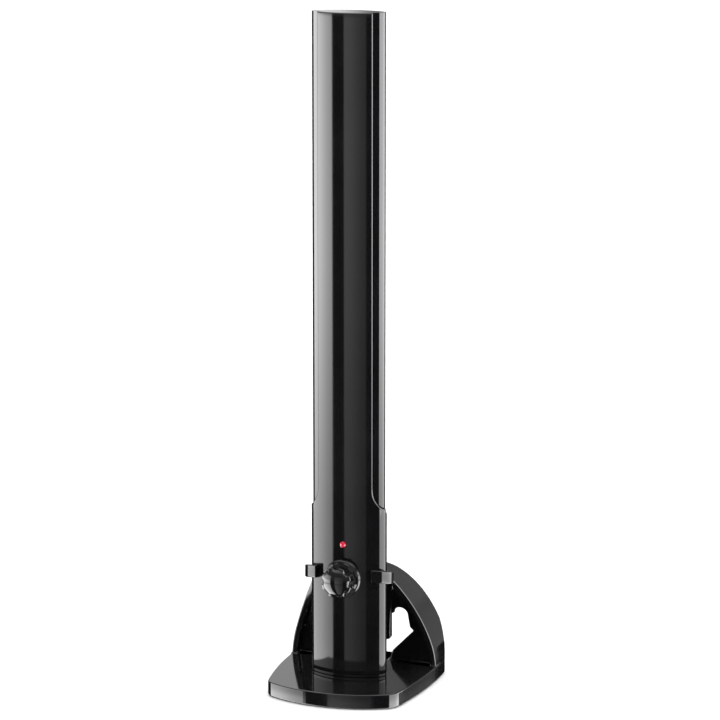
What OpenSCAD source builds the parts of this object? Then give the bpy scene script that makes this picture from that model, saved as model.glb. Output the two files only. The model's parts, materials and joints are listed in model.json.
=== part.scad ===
// Flat indoor aerial: an oval column that stands in an arched, hooded table stand.
// Millimetres, +Z up, front towards -Y, origin at the bottom centre of the whole object.

/* [Column] */
// Half of the column's width
col_half_w = 19; // [17:0.5:21]
// Half of the column's depth
col_half_d = 9.3; // [9:0.1:10.5]
// Radius of the column's narrow ends
col_end_r = 5; // [4:0.25:6]
// Height of the column
col_h = 321; // [300:1:360]
// Wall of both column shells
col_wall = 2; // [1.6:0.1:2.4]
// Depth of the step between the front cover and the upper flanks
flank_step = 0.8; // [0.5:0.1:1]
// Half width of the front cover above the shoulder
cover_half_w = 14; // [12:0.5:15]
// Height of the shoulder, where the front cover starts to widen
shoulder_z = 92; // [85:1:100]
// Radius of the shoulder curve
shoulder_r = 12.5; // [12:0.5:16]

/* [Controls] */
// Height of the gain knob's axis above the column's bottom
knob_z = 48.5; // [46:0.5:52]
// Radius of the knob's skirt
knob_skirt_r = 9.3; // [8:0.1:10]
// Radius of the knob's fluted grip
knob_grip_r = 7.7; // [6.5:0.1:8]
// Number of flutes round the grip
knob_flutes = 8; // [6:1:12]
// Height of the power light above the column's bottom
led_z = 65; // [62:0.5:72]
// Radius of the power light
led_r = 1.5; // [1.5:0.5:2]

/* [Socket] */
// Radius of the F socket's threaded barrel, 3/8 inch across
socket_r = 4.7625; // [4.7:0.0125:4.8]
// Height of the socket's axis above the column's bottom
socket_z = 7; // [6.8:0.1:7.2]
// Half width of the well that the socket stands in
well_half_w = 8; // [7.5:0.1:9]

/* [Stand] */
// Thickness of the base
base_t = 7; // [6.5:0.5:9]
// Half of the base's greatest width
base_half_w = 38; // [37.5:0.5:40]
// Distance from the column's axis to the front of the base
base_front = 37; // [35:1:42]
// Distance from the column's axis to the back of the base
base_back = 43; // [42:1:48]
// Radius of the base's front edge
base_front_r = 62; // [56:1:70]
// Radius of the base's corners
base_corner_r = 8; // [6:0.5:9]
// Radius of the arch's lower sides, seen from the front
arch_low_r = 54.5; // [52:0.5:57]
// Radius of the arch's upper sides
arch_high_r = 150; // [140:5:165]
// Height where the two radii meet
arch_turn_z = 14; // [12:1:16]
// Radius of the hood's front rim, seen from the side
rim_r = 80; // [76:1:86]
// Distance from the column's axis to the foot of the rim
rim_front = 21.2; // [20.5:0.1:22]
// Radius of the hood's back, seen from the side
hood_back_r = 46.5; // [45:0.5:49]
// Height of the hood's top
hood_top = 53.5; // [53:0.1:54]
// Wall of the hood
hood_wall = 3; // [2.5:0.1:3.5]
// Underside of the clip at the column's axis
clip_z = 46.2; // [46:0.1:47]
// Height of the clip
clip_h = 6.3; // [6:0.1:7]
// Rise of the clip towards the front, for each unit of depth
clip_tilt = 0.26; // [0.2:0.01:0.3]
// Half width of the clip's open front
clip_gap = 14; // [13:0.5:14.5]

/* [Hidden] */
$fn = 96;
// Small overlap for clean cuts
eps = 0.01;
// Longer than any cut in the stand
far = 120;
foot_out = 0.5;
base_top = foot_out + base_t;
col_lift = 1.5;
col_z = base_top + col_lift;
// The column's axis, with the whole object centred on Y
axis_y = (base_front - base_back) / 2;
fit_gap = 0.3;
// Underside of the top cap, between the shells' walls
cap_z = col_h - 2;
// Front faces and heights of the pieces inside the column
board_y = 1;
board_t = 1.2;
board_back = board_y + board_t;
cover_screw_z = [28, 101, 204, 308];
board_screws_at = [for (x = [-11, 11], z = [23, 89.5]) [x, z]];
balun_z = 204;
// The socket's wall and barrel
well_t = 1.5;
well_y = 1.6;
well_top = 15.5;
socket_tip = 9.2;
nut_t = 2;
// Plain neck that the nut grips, and where the free thread starts
neck_r = 4.6;
thread_y = 4.2;
// Wire between the socket and the amplifier board
lead_r = 0.35;
lead_y = -6.45;
lead_top = 13;
// Where the cover screws' heads sit
screw_seat = 6.3;
// The knob, from its skirt's back to its tip
skirt_back = -10.4;
skirt_front = -12.4;
knob_tip = -22.5;
shaft_r = 3;
bushing_r = 3.5;
// The stand's plan: widest point, and the radius of its sides
widest_y = 24;
side_r = 250;
// The arch: half width just inside the base's, and side centres, tangent where they meet
arch_half_w = base_half_w - 0.3;
arch_low_z = -2.7;
arch_turn = asin((arch_turn_z - arch_low_z) / arch_low_r);
arch_gain_r = arch_high_r - arch_low_r;
arch_high_z = arch_low_z - arch_gain_r * sin(arch_turn);
arch_high_w = arch_half_w + arch_gain_r * (1 - cos(arch_turn));
hood_back_z = 10;
web_front = 25.7;
web_t = 3;
roof_z = 45;
// Round tops of the hood's two windows
lobe_x = 19.2;
lobe_z = 25.2;
lobe_r = 3.6;
tongue_half_w = 17.2;
tongue_y = 12.2;
tongue_z = 14.4;
tongue_top = 46;
notch_r = 9.5;
notch_y = 36.5;
base_screws_at = [for (s = [-1, 1], p = [[26, -16], [28, 20]]) [s * p[0], p[1]]];
feet_at = [for (s = [-1, 1], p = [[20, -24], [30, 8]]) [s * p[0], p[1]]];

// ---- Shared shapes ------------------------------------------------------------------

// Flattened oval of four tangent arcs, grown evenly by g on every side
module oval(g = 0) {
  end_r = col_end_r + g;
  half_d = col_half_d + g;
  end_x = col_half_w - col_end_r;
  drop = (end_x * end_x - pow(half_d - end_r, 2)) / (2 * (half_d - end_r));
  face_r = half_d + drop;
  reach = end_x * face_r / (face_r - end_r);
  for (s = [-1, 1]) translate([s * end_x, 0]) circle(end_r);
  intersection() {
    translate([0, drop]) circle(face_r, $fn = 256);
    translate([0, -drop]) circle(face_r, $fn = 256);
    square([2 * reach, 2 * half_d + 1], center = true);
  }
}

// Column outline as a prism between two heights above the column's bottom
module oval_prism(g, z0, z1) {
  translate([0, 0, z0]) linear_extrude(z1 - z0) oval(g);
}

// Everything of the column and what it carries
module in_column() {
  translate([0, axis_y, col_z]) children();
}

// Everything of the stand, with z = 0 at the top of the base
module in_stand() {
  translate([0, axis_y, base_top]) children();
}

// Cylinder along Y from y0 to y1
module y_rod(r, y0, y1, x = 0, z = 0, sides = 48) {
  translate([x, y1, z]) rotate([90, 0, 0]) cylinder(r = r, h = y1 - y0, $fn = sides);
}

// Ring along Y from y0 to y1
module y_ring(r_out, r_in, y0, y1, z = 0, sides = 48) {
  difference() {
    y_rod(r_out, y0, y1, 0, z, sides);
    y_rod(r_in, y0 - 1, y1 + 1, 0, z);
  }
}

// Box between two corners
module box(low, high) {
  translate(low) cube(high - low);
}

// ---- Column shells ------------------------------------------------------------------

// Front view of the area that the front cover takes: narrow above the shoulder
module cover_area() {
  difference() {
    translate([-col_half_w - 1, 0]) square([2 * col_half_w + 2, shoulder_z]);
    for (s = [-1, 1]) translate([s * (cover_half_w + shoulder_r), shoulder_z]) circle(shoulder_r);
  }
  translate([-cover_half_w, 0]) square([2 * cover_half_w, col_h]);
}

module cover_block() {
  rotate([90, 0, 0]) linear_extrude(col_half_d + 2) cover_area();
}

// Round posts inside a shell, cut to the shell's inner face
module posts(r, y0, y1) {
  intersection() {
    for (z = cover_screw_z) y_rod(r, y0, y1, 0, z);
    oval_prism(-col_wall / 2, 0, cap_z);
  }
}

module front_cover() color("black") in_column() {
  difference() {
    union() {
      difference() {
        intersection() {
          cover_block();
          oval_prism(0, 0, col_h);
        }
        oval_prism(-col_wall, -1, col_h + 1);
      }
      posts(2.6, -far, board_y);
    }
    for (z = cover_screw_z) y_rod(1.1, -6, far, 0, z);
    y_rod(bushing_r + 0.1, -20, 0, 0, knob_z);
    y_rod(led_r, -20, 0, 0, led_z);
  }
}

module rear_outside() {
  oval_prism(-flank_step, 0, col_h);
  intersection() {
    oval_prism(0, 0, shoulder_z);
    union() {
      box([-far, 0, 0], [far, far, shoulder_z - shoulder_r]);
      cover_block();
    }
  }
}

module rear_shell() color("black") in_column() {
  difference() {
    union() {
      difference() {
        rear_outside();
        oval_prism(-col_wall, -1, col_h + 1);
      }
      intersection() {
        oval_prism(-col_wall / 2, 0, cap_z);
        box(
          [-well_half_w - well_t, well_y - well_t, 0],
          [well_half_w + well_t, far, well_top + well_t]
        );
      }
      posts(3, board_back, far);
      intersection() {
        for (p = board_screws_at) y_rod(1.8, board_back, far, p[0], p[1]);
        oval_prism(-col_wall / 2, 0, cap_z);
      }
    }
    cover_block();
    box([-well_half_w, well_y, -1], [well_half_w, far, well_top]);
    y_rod(neck_r + 0.05, -3, 3, 0, socket_z);
    for (z = cover_screw_z) {
      y_rod(1.15, 0, far, 0, z);
      y_rod(2.1, screw_seat, far, 0, z);
    }
    for (p = board_screws_at) y_rod(0.8, 0, 5, p[0], p[1]);
  }
}

module top_cap() color("black") in_column() {
  oval_prism(-col_wall, cap_z, col_h);
  difference() {
    oval_prism(-col_wall, cap_z - 5, cap_z);
    oval_prism(-col_wall - 1.5, cap_z - 6, cap_z + eps);
  }
}

module bottom_cap() color("black") in_column() {
  difference() {
    union() {
      oval_prism(-col_wall - 0.1, -0.2, 0.6);
      oval_prism(-0.2, fit_gap - col_lift, -0.1);
    }
    box([-well_half_w - well_t, well_y - well_t, -5], [well_half_w + well_t, far, 5]);
  }
}

module cover_screws() color("silver") in_column() {
  for (z = cover_screw_z) {
    y_rod(1.1, -5.5, screw_seat, 0, z);
    difference() {
      y_rod(2, screw_seat, screw_seat + 1.3, 0, z);
      for (turn = [0, 90]) translate([0, screw_seat + 1.3, z]) rotate([0, turn, 0])
        cube([2.6, 1.2, 0.5], center = true);
    }
  }
}

// ---- Inside the column --------------------------------------------------------------

module antenna_board() color("darkgreen") in_column() {
  difference() {
    box([-13, board_y, 96], [13, board_back, 314]);
    for (z = cover_screw_z) y_rod(2.6, -1, 5, 0, z);
    for (z = [120, 180, 226, 290], x = [-11.5, 11.5]) y_rod(0.8, -1, 5, x, z);
  }
}

// Sheet-metal dipole arm with folded edges
module radiator(z0, z1) {
  box([-10, board_y - 0.5, z0], [10, board_y, z1]);
  for (s = [-1, 1]) translate([s * 9.75, board_y - 1.5, (z0 + z1) / 2])
    cube([0.5, 2, z1 - z0], center = true);
}

module upper_radiator() color("goldenrod") in_column() {
  radiator(212, 302);
}

module lower_radiator() color("goldenrod") in_column() {
  radiator(106, 196);
}

module balun_core() color("dimgray") in_column() translate([7.5, 0, 0]) {
  y_ring(3.2, 1.4, board_y - 2.6, board_y, balun_z);
}

// Screened lead from the dipole's feed point down to the amplifier
module feed_coax() color("saddlebrown") in_column() {
  translate([-7.5, board_back + 1.3, 80]) cylinder(r = 1.3, h = balun_z - 80, $fn = 24);
}

module amplifier_board() color("darkgreen") in_column() {
  difference() {
    box([-14, board_y, 18], [14, board_back, 93]);
    y_rod(2.6, -1, 5, 0, cover_screw_z[0]);
    for (p = board_screws_at) y_rod(0.9, -1, 5, p[0], p[1]);
  }
}

module amplifier_shield() color("silver") in_column() {
  difference() {
    box([-8.5, board_y - 5, 70], [8.5, board_y, 88]);
    box([-8.1, board_y - 4.6, 70.4], [8.1, board_y + eps, 87.6]);
  }
}

module board_screws() color("silver") in_column() {
  for (p = board_screws_at) {
    y_rod(0.8, board_y, board_back + 2.4, p[0], p[1]);
    y_rod(1.5, board_y - 1, board_y, p[0], p[1]);
  }
}

// ---- Gain control and power light ---------------------------------------------------

module gain_pot() color("steelblue") in_column() {
  difference() {
    union() {
      box([-5, -5, knob_z - 5.5], [5, board_y, knob_z + 5.5]);
      y_rod(bushing_r, -11.8, -5, 0, knob_z);
    }
    y_rod(shaft_r + 0.05, -20, -2.7, 0, knob_z);
  }
}

module pot_washer() color("silver") in_column() {
  y_ring(5.4, bushing_r, -9.9, -col_half_d, knob_z);
}

module pot_nut() color("silver") in_column() {
  y_ring(5.7, bushing_r, -11.9, -9.9, knob_z, 6);
}

module knob_bezel() color("black") in_column() {
  difference() {
    y_ring(8.6, 6.1, skirt_back + fit_gap, -6, knob_z);
    oval_prism(0, knob_z - 12, knob_z + 12);
  }
}

// Half profile of a domed light: radius across, height from the board outwards
module led_profile() {
  dome_z = col_half_d + board_y;
  square([led_r, dome_z]);
  square([led_r + 0.4, 6]);
  intersection() {
    translate([0, dome_z]) circle(led_r, $fn = 64);
    translate([0, dome_z - 1]) square([led_r, led_r + 2]);
  }
}

module power_led() color("crimson") in_column() {
  translate([0, board_y, led_z]) rotate([90, 0, 0]) rotate_extrude($fn = 48) led_profile();
}

module gain_knob() color("black") in_column() {
  difference() {
    union() {
      y_rod(knob_skirt_r, skirt_front, skirt_back, 0, knob_z, 96);
      y_rod(knob_grip_r, knob_tip, skirt_front, 0, knob_z, 96);
    }
    for (i = [1 : knob_flutes]) translate([0, 0, knob_z]) rotate([0, i * 360 / knob_flutes, 0])
      y_rod(2.2, knob_tip - 1, skirt_front, knob_grip_r + 1.2, 0);
    y_rod(6.6, skirt_front + 0.1, 0, 0, knob_z);
    y_rod(shaft_r, knob_tip + 1.2, 0, 0, knob_z);
  }
}

module pot_shaft() color("silver") in_column() {
  y_rod(shaft_r, knob_tip + 1.4, -2.9, 0, knob_z);
}

// ---- Socket ------------------------------------------------------------------------

module f_socket() color("silver") in_column() {
  difference() {
    union() {
      y_rod(socket_r, thread_y, socket_tip, 0, socket_z);
      y_rod(neck_r, -6, thread_y, 0, socket_z);
      y_rod(6, well_y - well_t - 1.5, well_y - well_t, 0, socket_z);
    }
    y_rod(2.6, -7, 10, 0, socket_z);
  }
}

module socket_insulator() color("white") in_column() {
  y_ring(2.6, 0.8, -6, socket_tip - 1.5, socket_z);
}

module socket_contact() color("gold") in_column() {
  difference() {
    y_rod(0.8, -6.6, socket_tip - 1.6, 0, socket_z);
    y_rod(0.45, -2, 10, 0, socket_z);
  }
}

module socket_washer() color("silver") in_column() {
  y_ring(6, neck_r, well_y, well_y + 0.5, socket_z);
}

module socket_nut() color("silver") in_column() {
  y_ring(6.35, neck_r, well_y + 0.5, well_y + 0.5 + nut_t, socket_z, 6);
}

// Wire from the socket's contact up to the amplifier board
module socket_lead() color("red") in_column() {
  translate([0, lead_y, socket_z + 0.8]) cylinder(r = lead_r, h = lead_top - 0.8, $fn = 16);
  y_rod(lead_r, lead_y, board_y, 0, socket_z + lead_top - lead_r, 16);
}

// ---- Stand --------------------------------------------------------------------------

// Two circles of radius r that meet the line |x| = half_w at height y
module lens(r, half_w, y) {
  intersection_for(s = [-1, 1]) translate([s * (half_w - r), y]) circle(r, $fn = 360);
}

// Outline of the base from above, shrunk evenly by inset
module base_outline(inset = 0) {
  offset(delta = -inset) offset(r = base_corner_r) offset(delta = -base_corner_r) intersection() {
    translate([0, base_front_r - base_front]) circle(base_front_r, $fn = 240);
    lens(side_r, base_half_w, widest_y);
    translate([-far, base_back - far]) square([2 * far, far]);
  }
}

// Notch in the back of the base, where the aerial lead leaves
module lead_notch(grow = 0) {
  translate([0, notch_y]) circle(notch_r + grow);
  translate([-notch_r - grow, notch_y]) square([2 * (notch_r + grow), far]);
}

module base_slab(inset, z0, z1) {
  translate([0, 0, z0]) linear_extrude(z1 - z0) difference() {
    base_outline(inset);
    lead_notch(inset);
  }
}

// Front view of the hood: an arch of two tangent arcs on each side
module arch(inset = 0) {
  intersection() {
    lens(arch_low_r - inset, arch_half_w - inset, arch_low_z);
    translate([-far, 0]) square([2 * far, arch_turn_z + eps]);
  }
  intersection() {
    lens(arch_high_r - inset, arch_high_w - inset, arch_high_z);
    translate([-far, arch_turn_z]) square([2 * far, far]);
  }
}

module along_y() {
  translate([0, far, 0]) rotate([90, 0, 0]) linear_extrude(2 * far) children();
}

module along_x() {
  translate([-far, 0, 0]) rotate([90, 0, 90]) linear_extrude(2 * far) children();
}

// Side view of what lies in front of an arc that crosses the base's top at y
module before_arc(y) {
  translate([y - rim_r, 0]) circle(rim_r, $fn = 240);
}

// Right half of the opening in the hood's web
module web_opening() {
  polygon([
    [-eps, -1], [11, -1], [12.5, 1], [13.8, 5.1], [25.1, 16.5], [23.3, 18.3],
    [lobe_x + lobe_r, lobe_z], [-eps, lobe_z]
  ]);
  translate([lobe_x, lobe_z]) circle(lobe_r);
}

// Upright tongue behind the column, with rounded lower corners
module tongue() {
  intersection() {
    along_y() {
      translate([-tongue_half_w, tongue_z + 2]) square([2 * tongue_half_w, tongue_top - tongue_z - 2]);
      translate([-tongue_half_w + 2, tongue_z]) square([2 * tongue_half_w - 4, 4]);
      for (s = [-1, 1]) translate([s * (tongue_half_w - 2), tongue_z + 2]) circle(2);
    }
    box([-far, tongue_y, 0], [far, tongue_y + web_t, far]);
  }
}

module hood() {
  difference() {
    intersection() {
      along_y() arch();
      along_x() difference() {
        intersection() {
          translate([base_back - hood_back_r, hood_back_z]) circle(hood_back_r, $fn = 240);
          translate([0, -eps]) square([far, hood_top]);
        }
        before_arc(rim_front);
      }
      linear_extrude(far) base_outline();
    }
    difference() {
      intersection() {
        along_y() arch(hood_wall);
        linear_extrude(roof_z) lens(side_r - hood_wall, base_half_w - hood_wall, widest_y);
      }
      along_x() difference() {
        before_arc(web_front + web_t);
        before_arc(web_front);
      }
    }
    along_y() for (s = [0, 1]) mirror([s, 0]) web_opening();
  }
}

// Side view of the clip: level thickness, rising towards the front
module clip_side() {
  lift = clip_tilt * far;
  polygon([
    [-far, clip_z + lift], [far, clip_z - lift],
    [far, clip_z + clip_h - lift], [-far, clip_z + clip_h + lift]
  ]);
}

module clip() {
  difference() {
    intersection() {
      oval_prism(fit_gap + hood_wall, 40, 60);
      along_x() clip_side();
    }
    box([-clip_gap, -far, 0], [clip_gap, 0, far]);
  }
}

module stand_body() color("black") in_stand() {
  difference() {
    union() {
      hood();
      tongue();
      clip();
    }
    oval_prism(fit_gap, 0, far);
  }
  difference() {
    base_slab(0, -base_t, 0);
    base_slab(hood_wall, -base_t - 1, -2.5);
  }
  for (p = base_screws_at) translate([p[0], p[1], -base_t + 1.8]) difference() {
    cylinder(r = 3.2, h = base_t - 4);
    translate([0, 0, -1]) cylinder(r = 1.1, h = base_t - 3);
  }
}

module base_cover() color("black") in_stand() {
  difference() {
    base_slab(hood_wall + 0.1, -base_t, -base_t + 1.8);
    for (p = base_screws_at) translate([p[0], p[1], -base_t - 1]) {
      cylinder(r = 1.3, h = 5);
      cylinder(r = 2.6, h = 2);
    }
    for (p = feet_at) translate([p[0], p[1], -base_t - 1]) cylinder(r = 4.5, h = 1.5);
  }
}

module ballast_plate() color("dimgray") in_stand() {
  difference() {
    base_slab(hood_wall + 2, -base_t + 1.8, -3);
    for (p = base_screws_at) translate([p[0], p[1], -base_t - 1]) cylinder(r = 3.6, h = 9);
  }
}

module base_screws() color("silver") in_stand() {
  for (p = base_screws_at) translate([p[0], p[1], -base_t]) {
    translate([0, 0, 1]) cylinder(r = 1.1, h = 3.2);
    difference() {
      translate([0, 0, 0.1]) cylinder(r = 2.3, h = 0.9);
      for (turn = [0, 90]) rotate([0, 0, turn]) cube([3, 0.6, 1.2], center = true);
    }
  }
}

module rubber_feet() color("dimgray") in_stand() {
  for (p = feet_at) translate([p[0], p[1], -base_top]) cylinder(r = 4.4, h = 1);
}

front_cover();
rear_shell();
top_cap();
bottom_cap();
cover_screws();
antenna_board();
upper_radiator();
lower_radiator();
balun_core();
feed_coax();
amplifier_board();
amplifier_shield();
board_screws();
gain_pot();
pot_washer();
pot_nut();
knob_bezel();
power_led();
f_socket();
socket_insulator();
socket_contact();
socket_washer();
socket_nut();
socket_lead();
gain_knob();
pot_shaft();
stand_body();
base_cover();
ballast_plate();
base_screws();
rubber_feet();
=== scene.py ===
import json
import math
import bpy
import bmesh
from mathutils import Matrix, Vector


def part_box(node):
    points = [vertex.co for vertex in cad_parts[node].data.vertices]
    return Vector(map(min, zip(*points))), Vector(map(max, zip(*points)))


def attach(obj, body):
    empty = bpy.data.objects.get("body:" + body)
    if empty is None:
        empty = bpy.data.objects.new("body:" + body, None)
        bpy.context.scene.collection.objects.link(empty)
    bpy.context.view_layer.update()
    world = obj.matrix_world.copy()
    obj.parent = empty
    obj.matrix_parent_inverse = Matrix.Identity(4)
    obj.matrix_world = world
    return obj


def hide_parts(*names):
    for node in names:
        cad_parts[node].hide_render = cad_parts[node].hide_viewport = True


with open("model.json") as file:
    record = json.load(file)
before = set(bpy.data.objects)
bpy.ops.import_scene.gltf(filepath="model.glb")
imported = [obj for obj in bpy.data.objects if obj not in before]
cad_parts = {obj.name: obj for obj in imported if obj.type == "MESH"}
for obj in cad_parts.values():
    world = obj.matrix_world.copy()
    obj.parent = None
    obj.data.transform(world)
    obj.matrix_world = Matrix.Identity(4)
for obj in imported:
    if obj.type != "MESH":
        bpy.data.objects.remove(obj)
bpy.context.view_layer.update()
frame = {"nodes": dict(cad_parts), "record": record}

# A flat indoor antenna on a hooded stand. Lengths are in metres; MM turns millimetres into them.
MM = 0.001
nodes = frame["nodes"]

# ---- Places taken from the frame ----------------------------------------------------

cover_low, cover_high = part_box("front_cover")
cap_low, cap_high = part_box("top_cap")
knob_low, knob_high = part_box("gain_knob")
led_low, led_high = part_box("power_led")
AXIS_Y = (cap_low.y + cap_high.y) / 2
COLUMN_Z = cover_low.z
COLUMN_H = cover_high.z - cover_low.z
HALF_W = cover_high.x
HALF_D = AXIS_Y - cover_low.y
END_R = 5 * MM
END_X = HALF_W - END_R
FACE_DROP = (END_X**2 - (HALF_D - END_R) ** 2) / (2 * (HALF_D - END_R))
FACE_R = HALF_D + FACE_DROP
TANGENT = math.atan2(END_X, FACE_DROP)
COVER_HALF_W = 14 * MM
SHOULDER_Z = 92 * MM
SHOULDER_R = 12.5 * MM
STEP_DEPTH = 0.8 * MM

# Creases sharper than these are rounded on CAD pieces, or kept sharp on new ones
EDGE_ANGLE = math.radians(35)
SHARP_ANGLE = math.radians(38)
PLASTIC_IOR = 1.5


# ---- Node helpers -------------------------------------------------------------------

class Nodes:
    """Builds a node tree with short calls."""

    def __init__(self, tree):
        self.tree = tree
        tree.nodes.clear()

    def add(self, kind, inputs=None, **props):
        n = self.tree.nodes.new(kind)
        for name, value in props.items():
            setattr(n, name, value)
        for name, value in (inputs or {}).items():
            self.put(n, name, value)
        return n

    def put(self, n, name, value):
        socket = n.inputs[name]
        if isinstance(value, bpy.types.NodeSocket):
            self.tree.links.new(value, socket)
        else:
            socket.default_value = value

    def math(self, op, a, b=0.0, c=0.0):
        return self.add("ShaderNodeMath", {0: a, 1: b, 2: c}, operation=op).outputs[0]

    def ramp(self, value, low, high, out_low=0.0, out_high=1.0):
        n = self.add(
            "ShaderNodeMapRange",
            {"Value": value, "From Min": low, "From Max": high, "To Min": out_low, "To Max": out_high},
            interpolation_type="SMOOTHSTEP",
        )
        return n.outputs["Result"]


# ---- Surroundings -------------------------------------------------------------------

def band(n, value, start, end, soft):
    """1 between start and end, 0 outside, with soft edges of that width."""
    up = n.ramp(value, start - soft, start)
    down = n.ramp(value, end, end + soft, 1.0, 0.0)
    return n.math("MULTIPLY", up, down)


def make_world():
    """A studio: softboxes left and right, a dim front, a white backdrop in two parts and a ceiling."""
    world = bpy.data.worlds.new("studio")
    bpy.context.scene.world = world
    world.use_nodes = True
    n = Nodes(world.node_tree)
    spot = n.add("ShaderNodeTexCoord").outputs["Generated"]
    x, y, z = n.add("ShaderNodeSeparateXYZ", {0: spot}).outputs
    turn = n.math("ARCTAN2", x, n.math("MULTIPLY", y, -1.0))
    around = n.math("MULTIPLY", turn, 180 / math.pi)
    rise = n.math("MULTIPLY", n.math("ARCSINE", z), 180 / math.pi)
    below = n.ramp(rise, 0.0, 4.0, 1.0, 0.0)
    dimmer = n.ramp(rise, -15.0, -8.5, 0.5, 1.0)
    dimmer = n.math("ADD", dimmer, n.ramp(rise, -17.6, -16.9, 0.45, 0.0))
    left = n.math("MULTIPLY", band(n, around, -90, -42, 4), n.ramp(around, -72, -40, 1.0, 0.62))
    right = band(n, around, 57, 136, 4)
    front = n.math("MULTIPLY", band(n, around, -15, 23, 3), n.ramp(around, -15, 25, 1.2, 0.45))
    # Each part of the surroundings and its brightness
    low_parts = [(left, 10.5), (right, 9.5), (front, 1.0), (band(n, around, 141, 158, 5), 0.35)]
    total = 0.02
    for mask, strength in low_parts:
        total = n.math("MULTIPLY_ADD", mask, strength, total)
    reach = n.math("MAXIMUM", below, n.ramp(rise, 14.0, 24.0, 0.5, 0.0))
    total = n.math("MULTIPLY", n.math("MULTIPLY", total, reach), dimmer)
    behind = n.math("MAXIMUM", band(n, around, 172, 200, 8), band(n, around, -160.7, -128, 0.8))
    above = n.ramp(rise, 0.0, 4.0)
    total = n.math("MULTIPLY_ADD", n.math("MULTIPLY", above, behind), 0.8, total)
    total = n.math("MULTIPLY_ADD", above, 0.25, total)
    total = n.math("MULTIPLY_ADD", n.ramp(rise, 35.0, 50.0), 1.4, total)
    background = n.add("ShaderNodeBackground", {"Color": (1, 1, 1, 1), "Strength": total})
    out = n.add("ShaderNodeOutputWorld")
    n.put(out, "Surface", background.outputs[0])


def make_floor():
    mesh = bpy.data.meshes.new("floor")
    half = 30.0
    corners = [(-half, -half, 0), (half, -half, 0), (half, half, 0), (-half, half, 0)]
    mesh.from_pydata(corners, [], [(0, 1, 2, 3)])
    floor = bpy.data.objects.new("floor", mesh)
    bpy.context.scene.collection.objects.link(floor)
    mat = bpy.data.materials.new("floor_white")
    mat.use_nodes = True
    n = Nodes(mat.node_tree)
    noise = n.add("ShaderNodeTexNoise", {"Scale": 3.0, "Detail": 3.0})
    tone = n.ramp(noise.outputs["Fac"], 0.0, 1.0, 0.94, 0.96)
    colour = n.add("ShaderNodeCombineColor", {0: tone, 1: tone, 2: tone})
    shade = n.add("ShaderNodeBsdfDiffuse", {"Color": colour.outputs[0]})
    out = n.add("ShaderNodeOutputMaterial")
    n.put(out, "Surface", shade.outputs[0])
    mesh.materials.append(mat)
    floor.visible_glossy = False


def soft_light(name, place, target, size, power):
    data = bpy.data.lights.new(name, "AREA")
    data.shape = "RECTANGLE"
    data.size, data.size_y = size
    data.energy = power
    lamp = bpy.data.objects.new(name, data)
    bpy.context.scene.collection.objects.link(lamp)
    lamp.location = place
    lamp.rotation_euler = (Vector(target) - Vector(place)).to_track_quat("-Z", "Y").to_euler()
    lamp.visible_camera = False


def make_camera():
    """Slightly from the right and above, at the photograph's angle."""
    azimuth, pitch, yaw = math.radians(19.0), math.radians(11.17), math.radians(-0.207)
    away, eye = 1.4525, 0.4409
    data = bpy.data.cameras.new("camera")
    data.sensor_width = 36.0
    data.lens = 154.25
    cam = bpy.data.objects.new("camera", data)
    bpy.context.scene.collection.objects.link(cam)
    cam.location = (math.sin(azimuth) * away, AXIS_Y - math.cos(azimuth) * away, COLUMN_Z + eye)
    heading = azimuth + yaw
    level = math.cos(pitch)
    ahead = Vector((-math.sin(heading) * level, math.cos(heading) * level, -math.sin(pitch)))
    cam.rotation_euler = ahead.to_track_quat("-Z", "Y").to_euler()
    data.clip_start, data.clip_end = 0.05, 100.0
    bpy.context.scene.camera = cam


# ---- Materials ----------------------------------------------------------------------

def finish_material(n, shade):
    out = n.add("ShaderNodeOutputMaterial")
    n.put(out, "Surface", shade.outputs[0])


def worn_surface(n, roughness, scratch, grain, depth):
    """Roughness and bump from noise: hairline scratches, faint haze and a fine grain."""
    spot = n.add("ShaderNodeTexCoord").outputs["Object"]
    stretch = n.add("ShaderNodeMapping", {"Vector": spot, "Scale": (1.0, 1.0, 0.12)})
    hair = n.add("ShaderNodeTexNoise", {"Vector": stretch.outputs[0], "Scale": 2600.0, "Detail": 3.0})
    lines = n.ramp(hair.outputs["Fac"], 0.64, 0.74)
    cloud = n.add("ShaderNodeTexNoise", {"Vector": spot, "Scale": 45.0, "Detail": 4.0})
    haze = n.ramp(cloud.outputs["Fac"], 0.35, 0.75)
    rough = n.math("MULTIPLY_ADD", haze, 0.25 * roughness + 0.01, roughness)
    rough = n.math("MULTIPLY_ADD", lines, scratch, rough)
    fine = n.add("ShaderNodeTexNoise", {"Vector": spot, "Scale": grain, "Detail": 2.0})
    height = n.math("MULTIPLY_ADD", lines, -0.2, fine.outputs["Fac"])
    bump = n.add("ShaderNodeBump", {"Height": height, "Strength": depth, "Distance": 0.0002})
    return rough, haze, bump.outputs[0]


def tinted(n, haze, colour, spread):
    light = [min(1.0, c * (1 + spread) + 0.0008) for c in colour]
    mix = n.add("ShaderNodeMix", {"Factor": haze, 6: (*colour, 1), 7: (*light, 1)}, data_type="RGBA")
    return mix.outputs[2]


def make_plastic(name, colour, roughness, scratch=0.05, grain=30.0, depth=0.015):
    mat = bpy.data.materials.new(name)
    mat.use_nodes = True
    n = Nodes(mat.node_tree)
    rough, haze, normal = worn_surface(n, roughness, scratch, grain, depth)
    shade = n.add("ShaderNodeBsdfPrincipled", {"Roughness": rough, "IOR": PLASTIC_IOR, "Normal": normal})
    n.put(shade, "Base Color", tinted(n, haze, colour, 0.3))
    finish_material(n, shade)
    return mat


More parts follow.
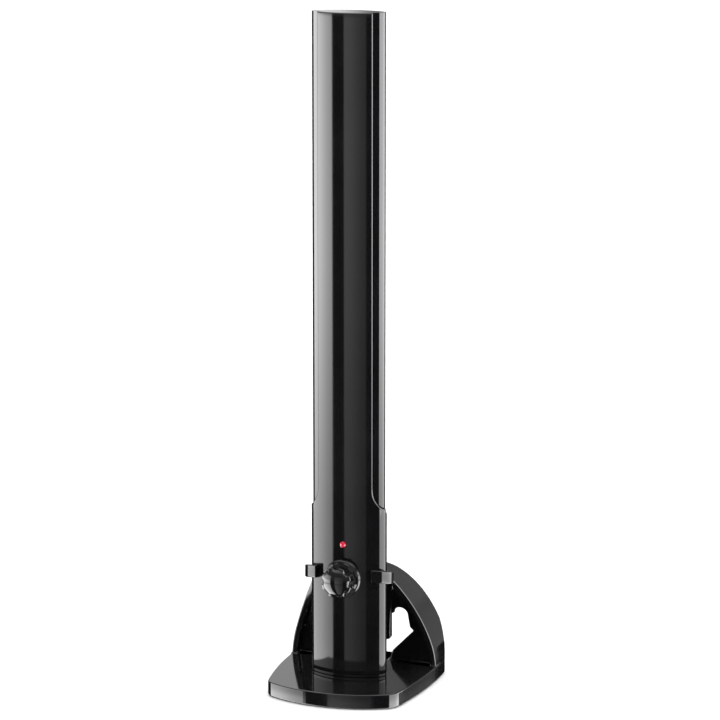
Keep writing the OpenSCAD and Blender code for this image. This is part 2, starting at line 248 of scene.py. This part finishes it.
def make_metal(name, colour, roughness, grain=900.0, depth=0.15):
    mat = bpy.data.materials.new(name)
    mat.use_nodes = True
    n = Nodes(mat.node_tree)
    rough, haze, normal = worn_surface(n, roughness, 0.15, grain, depth)
    shade = n.add("ShaderNodeBsdfPrincipled", {"Roughness": rough, "Metallic": 1.0, "Normal": normal})
    n.put(shade, "Base Color", tinted(n, haze, colour, 0.12))
    finish_material(n, shade)
    return mat


def make_lens(name):
    """Red diffused epoxy: a faintly mottled body under a clear gloss, with a faint painted glow in the
    same mottled red.
    """
    mat = bpy.data.materials.new(name)
    mat.use_nodes = True
    n = Nodes(mat.node_tree)
    rough, _, normal = worn_surface(n, 0.08, 0.05, 400.0, 0.02)
    spot = n.add("ShaderNodeTexCoord").outputs["Object"]
    cloud = n.add("ShaderNodeTexNoise", {"Vector": spot, "Scale": 900.0, "Detail": 2.0})
    lens_red_and_glow = n.add(
        "ShaderNodeMix",
        {"Factor": cloud.outputs["Fac"], 6: (0.42, 0.002, 0.02, 1), 7: (0.62, 0.006, 0.04, 1)},
        data_type="RGBA",
    )
    # The emission paints a faint glow into the lens in its own mottled red.
    shade = n.add(
        "ShaderNodeBsdfPrincipled",
        {"Roughness": rough, "IOR": 1.53, "Normal": normal, "Subsurface Weight": 0.3,
         "Subsurface Radius": (0.002, 0.0004, 0.0004), "Emission Strength": 0.12},
    )
    n.put(shade, "Base Color", lens_red_and_glow.outputs[2])
    n.put(shade, "Emission Color", lens_red_and_glow.outputs[2])
    finish_material(n, shade)
    return mat


def make_board(name):
    """Green solder mask with a faint grid of tracks under it."""
    mat = bpy.data.materials.new(name)
    mat.use_nodes = True
    n = Nodes(mat.node_tree)
    rough, _, normal = worn_surface(n, 0.35, 0.1, 600.0, 0.05)
    spot = n.add("ShaderNodeTexCoord").outputs["Object"]
    tracks = n.add("ShaderNodeTexBrick", {"Vector": spot, "Scale": 160.0, "Mortar Size": 0.03})
    n.put(tracks, "Color1", (0.012, 0.11, 0.035, 1))
    n.put(tracks, "Color2", (0.016, 0.13, 0.04, 1))
    n.put(tracks, "Mortar", (0.04, 0.2, 0.06, 1))
    shade = n.add("ShaderNodeBsdfPrincipled", {"Roughness": rough, "Normal": normal})
    n.put(shade, "Base Color", tracks.outputs["Color"])
    finish_material(n, shade)
    return mat


def make_materials():
    return {
        "piano_black": make_plastic("piano_black", (0.0045, 0.0045, 0.005), 0.075),
        "satin_black": make_plastic("satin_black", (0.012, 0.012, 0.013), 0.42, 0.1, 1800.0, 0.25),
        "foot_rubber": make_plastic("foot_rubber", (0.018, 0.018, 0.018), 0.8, 0.05, 1200.0, 0.4),
        "ferrite": make_plastic("ferrite", (0.035, 0.035, 0.04), 0.6, 0.05, 1500.0, 0.3),
        "coax_jacket": make_plastic("coax_jacket", (0.16, 0.09, 0.045), 0.4, 0.05, 300.0, 0.1),
        "lead_wire": make_plastic("lead_wire", (0.5, 0.015, 0.015), 0.35, 0.05, 300.0, 0.1),
        "pot_case": make_plastic("pot_case", (0.03, 0.07, 0.2), 0.45, 0.05, 900.0, 0.15),
        "white_insulator": make_plastic("white_insulator", (0.78, 0.78, 0.74), 0.35, 0.05, 500.0, 0.1),
        "red_lens": make_lens("red_lens"),
        "circuit_board": make_board("circuit_board"),
        "zinc_steel": make_metal("zinc_steel", (0.6, 0.61, 0.6), 0.3),
        "nickel_plate": make_metal("nickel_plate", (0.68, 0.65, 0.6), 0.16, 400.0, 0.05),
        "gilt_contact": make_metal("gilt_contact", (0.85, 0.6, 0.2), 0.2),
        "brass_sheet": make_metal("brass_sheet", (0.76, 0.56, 0.24), 0.28),
        "tinplate": make_metal("tinplate", (0.68, 0.69, 0.7), 0.24),
        "plain_steel": make_metal("plain_steel", (0.36, 0.36, 0.38), 0.4, 1500.0, 0.3),
    }


# ---- Meshes -------------------------------------------------------------------------

def new_piece(name, verts, faces, body, slot, replaced, materials):
    mesh = bpy.data.meshes.new(name)
    mesh.from_pydata(verts, [], faces)
    mesh.validate()
    bm = bmesh.new()
    bm.from_mesh(mesh)
    bmesh.ops.remove_doubles(bm, verts=bm.verts, dist=1e-6)
    bmesh.ops.recalc_face_normals(bm, faces=bm.faces)
    for edge in bm.edges:
        if len(edge.link_faces) == 2 and edge.calc_face_angle() > SHARP_ANGLE:
            edge.smooth = False
    for face in bm.faces:
        face.smooth = True
    bm.to_mesh(mesh)
    bm.free()
    obj = bpy.data.objects.new(name, mesh)
    bpy.context.scene.collection.objects.link(obj)
    mesh.materials.append(materials[slot])
    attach(obj, body)
    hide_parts(*replaced)


def steps(start, end, count):
    return [start + (end - start) * i / count for i in range(count + 1)]


def round_over(radius, count):
    """Quarter circle as pairs of inset and drop, from the flat to the side."""
    turns = steps(0, math.pi / 2, count)
    return [(radius * (1 - math.sin(t)), radius * (1 - math.cos(t))) for t in turns]


def column_point(theta, depth, z):
    """Point of the column's outline, depth inside it, at an angle from the front."""
    side = math.copysign(1, theta)
    if abs(theta) <= TANGENT:
        radius = FACE_R - depth
        x, y = radius * math.sin(theta), FACE_DROP - radius * math.cos(theta)
    else:
        x = side * END_X + (END_R - depth) * math.sin(theta)
        y = -(END_R - depth) * math.cos(theta)
    return (x, AXIS_Y + y, COLUMN_Z + z)


def along_outline(theta):
    """Distance round the outline from the front to an angle."""
    turn = abs(theta)
    if turn <= TANGENT:
        return FACE_R * theta
    return math.copysign(FACE_R * TANGENT + END_R * (turn - TANGENT), theta)


def outline_angle(distance):
    reach = FACE_R * TANGENT
    if abs(distance) <= reach:
        return distance / FACE_R
    return math.copysign(TANGENT + (abs(distance) - reach) / END_R, distance)


def cover_edge_angle(z):
    """Angle of the front cover's edge at a height: full width below the shoulder."""
    if z >= SHOULDER_Z:
        return math.asin(COVER_HALF_W / FACE_R)
    width = COVER_HALF_W + SHOULDER_R - math.sqrt(max(SHOULDER_R**2 - (SHOULDER_Z - z) ** 2, 0))
    if z < SHOULDER_Z - SHOULDER_R or width >= HALF_W - 1e-6:
        return math.pi / 2
    if width <= FACE_R * math.sin(TANGENT):
        return math.asin(width / FACE_R)
    return math.asin(min(1.0, (width - END_X) / END_R))


def front_cover(materials):
    """The moulded front: full width at the foot, a narrow face above, edges rolled over."""
    edge_r, wall, across = 0.7 * MM, 1.9 * MM, 72
    roll = round_over(edge_r, 5)
    foot = SHOULDER_Z - math.sqrt(2 * SHOULDER_R * END_R - END_R**2)
    heights = [(0.0, 0.4 * MM), (0.15 * MM, 0.15 * MM), (0.4 * MM, 0.0)]
    heights += [(z, 0.0) for z in steps(2 * MM, foot, 24)]
    for i in range(1, 29):
        s = 1 - i / 28
        heights.append((SHOULDER_Z - math.sqrt(2 * SHOULDER_R * END_R * s - (END_R * s) ** 2), 0.0))
    heights += [(z, 0.0) for z in steps(SHOULDER_Z + 1 * MM, COLUMN_H - edge_r, 60)]
    heights += [(COLUMN_H - inset, drop) for inset, drop in roll[1:]]
    verts, loops = [], []
    for z, sunk in heights:
        edge = cover_edge_angle(z)
        reach = along_outline(edge)
        side = [(reach - inset, drop) for inset, drop in roll]
        deep = wall if edge > 1.5 else STEP_DEPTH + 0.5 * MM
        inner = max(deep, sunk + 0.1 * MM)
        face = [(d, 0.0) for d in steps(-reach + edge_r, reach - edge_r, across)][1:-1]
        other_side = [(-d, drop) for d, drop in reversed(side)]
        outer = [(-reach, inner)] + other_side + face + side + [(reach, inner)]
        ring = [column_point(outline_angle(d), max(drop, sunk), z) for d, drop in outer]
        back = [column_point(outline_angle(d), wall + 0.2 * MM, z) for d, _ in reversed(outer[1:-1])]
        loops.append(range(len(verts), len(verts) + len(ring) + len(back)))
        verts += ring + back
    faces = []
    for low, high in zip(loops, loops[1:]):
        count = len(low)
        for i in range(count):
            j = (i + 1) % count
            faces.append((low[i], low[j], high[j], high[i]))
    outer_count = len(outer)
    for loop, flip in ((loops[0], True), (loops[-1], False)):
        for i in range(1, outer_count - 2):
            a, b = loop[i], loop[i + 1]
            c, d = loop[2 * outer_count - 3 - i], loop[2 * outer_count - 2 - i]
            faces.append((a, b, c, d) if flip else (d, c, b, a))
        faces.append((loop[0], loop[1], loop[2 * outer_count - 3]))
        faces.append((loop[outer_count - 2], loop[outer_count - 1], loop[outer_count]))
    new_piece("front_cover_shell", verts, faces, "antenna", "piano_black", ["front_cover"], materials)


def lathe(profile, centre, count, shape=None):
    """Turns a profile of (radius, y) pairs round an axis along Y; shape bends the radius."""
    verts, faces = [], []
    for radius, y in profile:
        for i in range(count):
            turn = 2 * math.pi * i / count
            r = shape(radius, y, turn) if shape else radius
            verts.append((centre[0] + r * math.sin(turn), y, centre[1] + r * math.cos(turn)))
    rings = len(profile)
    for k in range(rings - 1):
        for i in range(count):
            j = (i + 1) % count
            a, b = k * count, (k + 1) * count
            faces.append((a + i, a + j, b + j, b + i))
    faces.append(tuple(range(count)))
    faces.append(tuple(reversed(range((rings - 1) * count, rings * count))))
    return verts, faces


def gain_knob(materials):
    """Skirted knob with a thick fluted grip and a domed end."""
    back, tip = knob_high.y, knob_low.y
    axis = (0.0, (knob_low.z + knob_high.z) / 2)
    skirt_r = knob_high.x
    skirt_front = back - 2 * MM
    grip_r, flutes = 7.7 * MM, 8

    def lobed(radius, y, turn):
        if y > skirt_front - 0.2 * MM or radius < 2.5 * MM:
            return radius
        groove = max(0.0, math.cos(flutes * turn) + 0.25) / 1.25
        share = max(0.0, min(1.0, (radius / grip_r - 0.78) / 0.16))
        return radius - share * share * 1.3 * MM * groove**0.6

    profile = [(skirt_r - 1.2 * MM, back), (skirt_r - 0.3 * MM, back), (skirt_r, back - 0.3 * MM)]
    for inset, drop in reversed(round_over(0.9 * MM, 5)):
        profile.append((skirt_r - drop, skirt_front + inset))
    profile += [(grip_r + 0.5 * MM, skirt_front), (grip_r + 0.1 * MM, skirt_front - 0.3 * MM)]
    dome_r, edge_r = 11.0 * MM, 0.8 * MM
    rim_r = grip_r - edge_r
    rim_drop = dome_r - math.sqrt(dome_r**2 - rim_r**2)
    for y in steps(skirt_front - 0.8 * MM, tip + rim_drop + edge_r, 8):
        profile.append((grip_r, y))
    for turn in steps(0, math.radians(52), 5)[1:]:
        profile.append((rim_r + edge_r * math.cos(turn), tip + rim_drop + edge_r * (1 - math.sin(turn))))
    for share in steps(1.0, 0.04, 16):
        radius = rim_r * share
        profile.append((radius, tip + dome_r - math.sqrt(dome_r**2 - radius**2)))
    verts, faces = lathe(profile, axis, 192, lobed)
    new_piece("gain_knob_grip", verts, faces, "knob", "piano_black", ["gain_knob"], materials)


def power_light(materials):
    """Domed light, standing just proud of the front cover."""
    radius = 1.55 * MM
    axis = (0.0, (led_low.z + led_high.z) / 2)
    face_y = AXIS_Y - HALF_D
    profile = [(radius, face_y + 3 * MM), (radius, face_y - 0.1 * MM)]
    for turn in steps(0, math.pi / 2, 12)[:-1]:
        profile.append((radius * math.cos(turn), face_y - 0.1 * MM - radius * 0.8 * math.sin(turn)))
    verts, faces = lathe(profile, axis, 48)
    new_piece("power_light_lens", verts, faces, "antenna", "red_lens", ["power_led"], materials)


def round_edges(obj, width):
    """Small rounded edges on a CAD piece. Flat faces are joined first, to keep corners clean."""
    weld = obj.modifiers.new("weld", "WELD")
    weld.merge_threshold = 0.002 * MM
    flat = obj.modifiers.new("flat", "DECIMATE")
    flat.decimate_type = "DISSOLVE"
    flat.angle_limit = math.radians(0.4)
    bevel = obj.modifiers.new("edges", "BEVEL")
    bevel.width = width
    bevel.segments = 3
    bevel.limit_method = "ANGLE"
    bevel.angle_limit = EDGE_ANGLE
    bevel.use_clamp_overlap = False
    normals = obj.modifiers.new("normals", "WEIGHTED_NORMAL")
    normals.keep_sharp = False


# ---- Scene --------------------------------------------------------------------------

make_camera()
make_world()
make_floor()
soft_light("overhead", (0, 0.2, 2.4), (0, 0, 0), (3.0, 3.0), 22)
materials = make_materials()
for row in frame["record"]["subparts"]:
    for holder in nodes[row["node"]].material_slots:
        holder.material = materials[row["material_slot"]]

front_cover(materials)
gain_knob(materials)
power_light(materials)
for name, width in (("stand_body", 0.6 * MM), ("knob_bezel", 0.4 * MM), ("top_cap", 0.3 * MM)):
    round_edges(nodes[name], width)

bpy.context.scene.view_settings.view_transform = "Standard"
